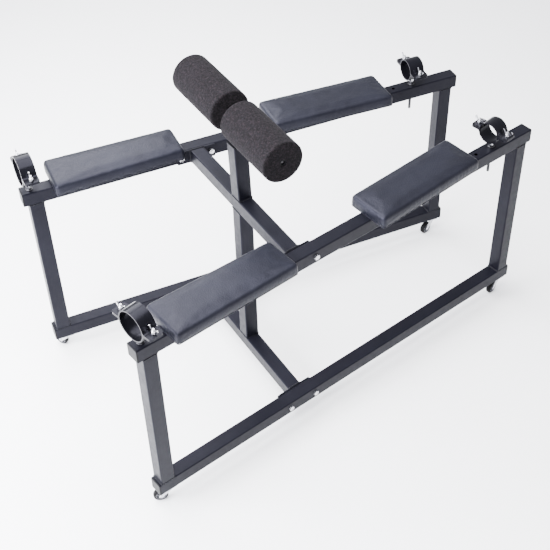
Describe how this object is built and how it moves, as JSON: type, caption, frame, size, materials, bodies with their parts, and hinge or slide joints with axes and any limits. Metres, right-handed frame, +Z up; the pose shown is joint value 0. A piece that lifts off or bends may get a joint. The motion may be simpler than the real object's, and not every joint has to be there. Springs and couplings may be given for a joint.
{
  "type": "four-armed padded bench frame with clamp cuffs",
  "caption": "Padded steel bench frame on swivel casters, with two long arms a side, clamp cuffs at the arm ends and a raised twin foam roller.",
  "frame": {"origin": "bottom centre of the whole assembly, on the floor under the caster wheels", "axes": "+X along the length from the wide end to the narrow end, +Y across to the far side, +Z up"},
  "size_m": [1.6425, 0.9975, 1.136],
  "materials": {
    "black_powder_coat": "satin",
    "black_vinyl": "satin",
    "black_foam": "matte",
    "board": "matte",
    "bright_zinc": "gloss",
    "black_plastic": "satin",
    "black_tyre": "matte"
  },
  "bodies": {
    "frame": {"centre_post_cap": "black_plastic", "far_bottom_rail": "black_powder_coat", "far_lower_narrow_bolt": "bright_zinc", "far_lower_wide_bolt": "bright_zinc", "far_narrow_caster_plate": "bright_zinc", "far_narrow_cushion": "black_vinyl", "far_narrow_cushion_board": "board", "far_narrow_post": "black_powder_coat", "far_top_rail": "black_powder_coat", "far_upper_narrow_bolt": "bright_zinc", "far_upper_wide_bolt": "bright_zinc", "far_wide_caster_plate": "bright_zinc", "far_wide_cushion": "black_vinyl", "far_wide_cushion_board": "board", "far_wide_post": "black_powder_coat", "lower_centre_post": "black_powder_coat", "lower_crossbar": "black_powder_coat", "near_bottom_rail": "black_powder_coat", "near_lower_narrow_bolt": "bright_zinc", "near_lower_wide_bolt": "bright_zinc", "near_narrow_caster_plate": "bright_zinc", "near_narrow_cushion": "black_vinyl", "near_narrow_cushion_board": "board", "near_narrow_post": "black_powder_coat", "near_top_rail": "black_powder_coat", "near_upper_narrow_bolt": "bright_zinc", "near_upper_wide_bolt": "bright_zinc", "near_wide_caster_plate": "bright_zinc", "near_wide_cushion": "black_vinyl", "near_wide_cushion_board": "board", "near_wide_post": "black_powder_coat", "roller_tee": "black_powder_coat", "upper_centre_post": "black_powder_coat", "upper_crossbar": "black_powder_coat"},
    "near_wide_cuff": {"near_wide_cuff_base": "black_powder_coat"},
    "near_wide_cuff_upper_half": {"near_wide_cuff_top": "black_powder_coat"},
    "near_wide_outer_wing_nut": {"near_wide_outer_wing_nut": "bright_zinc"},
    "near_wide_inner_wing_nut": {"near_wide_inner_wing_nut": "bright_zinc"},
    "near_narrow_cuff": {"near_narrow_cuff_base": "black_powder_coat"},
    "near_narrow_cuff_upper_half": {"near_narrow_cuff_top": "black_powder_coat"},
    "near_narrow_outer_wing_nut": {"near_narrow_outer_wing_nut": "bright_zinc"},
    "near_narrow_inner_wing_nut": {"near_narrow_inner_wing_nut": "bright_zinc"},
    "far_wide_cuff": {"far_wide_cuff_base": "black_powder_coat"},
    "far_wide_cuff_upper_half": {"far_wide_cuff_top": "black_powder_coat"},
    "far_wide_outer_wing_nut": {"far_wide_outer_wing_nut": "bright_zinc"},
    "far_wide_inner_wing_nut": {"far_wide_inner_wing_nut": "bright_zinc"},
    "far_narrow_cuff": {"far_narrow_cuff_base": "black_powder_coat"},
    "far_narrow_cuff_upper_half": {"far_narrow_cuff_top": "black_powder_coat"},
    "far_narrow_outer_wing_nut": {"far_narrow_outer_wing_nut": "bright_zinc"},
    "far_narrow_inner_wing_nut": {"far_narrow_inner_wing_nut": "bright_zinc"},
    "near_foam_roller": {"near_foam_roller": "black_foam"},
    "far_foam_roller": {"far_foam_roller": "black_foam"},
    "near_wide_caster_fork": {"near_wide_caster_fork": "bright_zinc"},
    "near_wide_caster_wheel": {"near_wide_caster_wheel": "black_tyre"},
    "near_narrow_caster_fork": {"near_narrow_caster_fork": "bright_zinc"},
    "near_narrow_caster_wheel": {"near_narrow_caster_wheel": "black_tyre"},
    "far_wide_caster_fork": {"far_wide_caster_fork": "bright_zinc"},
    "far_wide_caster_wheel": {"far_wide_caster_wheel": "black_tyre"},
    "far_narrow_caster_fork": {"far_narrow_caster_fork": "bright_zinc"},
    "far_narrow_caster_wheel": {"far_narrow_caster_wheel": "black_tyre"}
  },
  "joints": [
    {"name": "near_wide_cuff_swivel", "type": "hinge", "parent": "frame", "child": "near_wide_cuff", "pos_m": [-0.77868, -0.40993, 0.75], "axis": [0, 0, 1], "continuous": true},
    {"name": "near_wide_cuff_lift_off", "type": "slide", "parent": "near_wide_cuff", "child": "near_wide_cuff_upper_half", "axis": [0, 0, 1], "range_m": [0, 0.08]},
    {"name": "near_wide_outer_wing_nut_turn", "type": "hinge", "parent": "near_wide_cuff_upper_half", "child": "near_wide_outer_wing_nut", "pos_m": [-0.76197, -0.4779, 0.83], "axis": [0, 0, 1], "continuous": true},
    {"name": "near_wide_inner_wing_nut_turn", "type": "hinge", "parent": "near_wide_cuff_upper_half", "child": "near_wide_inner_wing_nut", "pos_m": [-0.79539, -0.34195, 0.83], "axis": [0, 0, 1], "continuous": true},
    {"name": "near_narrow_cuff_swivel", "type": "hinge", "parent": "frame", "child": "near_narrow_cuff", "pos_m": [0.63869, -0.22804, 0.75], "axis": [0, 0, 1], "continuous": true},
    {"name": "near_narrow_cuff_lift_off", "type": "slide", "parent": "near_narrow_cuff", "child": "near_narrow_cuff_upper_half", "axis": [0, 0, 1], "range_m": [0, 0.08]},
    {"name": "near_narrow_outer_wing_nut_turn", "type": "hinge", "parent": "near_narrow_cuff_upper_half", "child": "near_narrow_outer_wing_nut", "pos_m": [0.65182, -0.28351, 0.816], "axis": [0, 0, 1], "continuous": true},
    {"name": "near_narrow_inner_wing_nut_turn", "type": "hinge", "parent": "near_narrow_cuff_upper_half", "child": "near_narrow_inner_wing_nut", "pos_m": [0.62557, -0.17257, 0.816], "axis": [0, 0, 1], "continuous": true},
    {"name": "far_wide_cuff_swivel", "type": "hinge", "parent": "frame", "child": "far_wide_cuff", "pos_m": [-0.77868, 0.40993, 0.75], "axis": [0, 0, 1], "continuous": true},
    {"name": "far_wide_cuff_lift_off", "type": "slide", "parent": "far_wide_cuff", "child": "far_wide_cuff_upper_half", "axis": [0, 0, 1], "range_m": [0, 0.08]},
    {"name": "far_wide_outer_wing_nut_turn", "type": "hinge", "parent": "far_wide_cuff_upper_half", "child": "far_wide_outer_wing_nut", "pos_m": [-0.77342, 0.47973, 0.83], "axis": [0, 0, 1], "continuous": true},
    {"name": "far_wide_inner_wing_nut_turn", "type": "hinge", "parent": "far_wide_cuff_upper_half", "child": "far_wide_inner_wing_nut", "pos_m": [-0.78395, 0.34013, 0.83], "axis": [0, 0, 1], "continuous": true},
    {"name": "far_narrow_cuff_swivel", "type": "hinge", "parent": "frame", "child": "far_narrow_cuff", "pos_m": [0.63869, 0.22804, 0.75], "axis": [0, 0, 1], "continuous": true},
    {"name": "far_narrow_cuff_lift_off", "type": "slide", "parent": "far_narrow_cuff", "child": "far_narrow_cuff_upper_half", "axis": [0, 0, 1], "range_m": [0, 0.08]},
    {"name": "far_narrow_outer_wing_nut_turn", "type": "hinge", "parent": "far_narrow_cuff_upper_half", "child": "far_narrow_outer_wing_nut", "pos_m": [0.64595, 0.28458, 0.816], "axis": [0, 0, 1], "continuous": true},
    {"name": "far_narrow_inner_wing_nut_turn", "type": "hinge", "parent": "far_narrow_cuff_upper_half", "child": "far_narrow_inner_wing_nut", "pos_m": [0.63144, 0.1715, 0.816], "axis": [0, 0, 1], "continuous": true},
    {"name": "near_foam_roller_spin", "type": "hinge", "parent": "frame", "child": "near_foam_roller", "pos_m": [-0.21963, 0, 1.06754], "axis": [0, 1, 0], "continuous": true},
    {"name": "far_foam_roller_spin", "type": "hinge", "parent": "frame", "child": "far_foam_roller", "pos_m": [-0.21963, 0, 1.06754], "axis": [0, 1, 0], "continuous": true},
    {"name": "near_wide_caster_swivel", "type": "hinge", "parent": "frame", "child": "near_wide_caster_fork", "pos_m": [-0.75785, -0.40725, 0.0667], "axis": [0, 0, 1], "continuous": true},
    {"name": "near_wide_wheel_spin", "type": "hinge", "parent": "near_wide_caster_fork", "child": "near_wide_caster_wheel", "pos_m": [-0.78367, -0.39936, 0.025], "axis": [-0.2924, -0.9563, 0], "continuous": true},
    {"name": "near_narrow_caster_swivel", "type": "hinge", "parent": "frame", "child": "near_narrow_caster_fork", "pos_m": [0.77656, -0.21035, 0.0667], "axis": [0, 0, 1], "continuous": true},
    {"name": "near_narrow_wheel_spin", "type": "hinge", "parent": "near_narrow_caster_fork", "child": "near_narrow_caster_wheel", "pos_m": [0.75074, -0.21824, 0.025], "axis": [0.2924, -0.9563, 0], "continuous": true},
    {"name": "far_wide_caster_swivel", "type": "hinge", "parent": "frame", "child": "far_wide_caster_fork", "pos_m": [-0.75785, 0.40725, 0.0667], "axis": [0, 0, 1], "continuous": true},
    {"name": "far_wide_wheel_spin", "type": "hinge", "parent": "far_wide_caster_fork", "child": "far_wide_caster_wheel", "pos_m": [-0.77135, 0.43064, 0.025], "axis": [-0.866, -0.5, 0], "continuous": true},
    {"name": "far_narrow_caster_swivel", "type": "hinge", "parent": "frame", "child": "far_narrow_caster_fork", "pos_m": [0.77656, 0.21035, 0.0667], "axis": [0, 0, 1], "continuous": true},
    {"name": "far_narrow_wheel_spin", "type": "hinge", "parent": "far_narrow_caster_fork", "child": "far_narrow_caster_wheel", "pos_m": [0.75026, 0.20427, 0.025], "axis": [0.225, -0.9744, 0], "continuous": true}
  ]
}
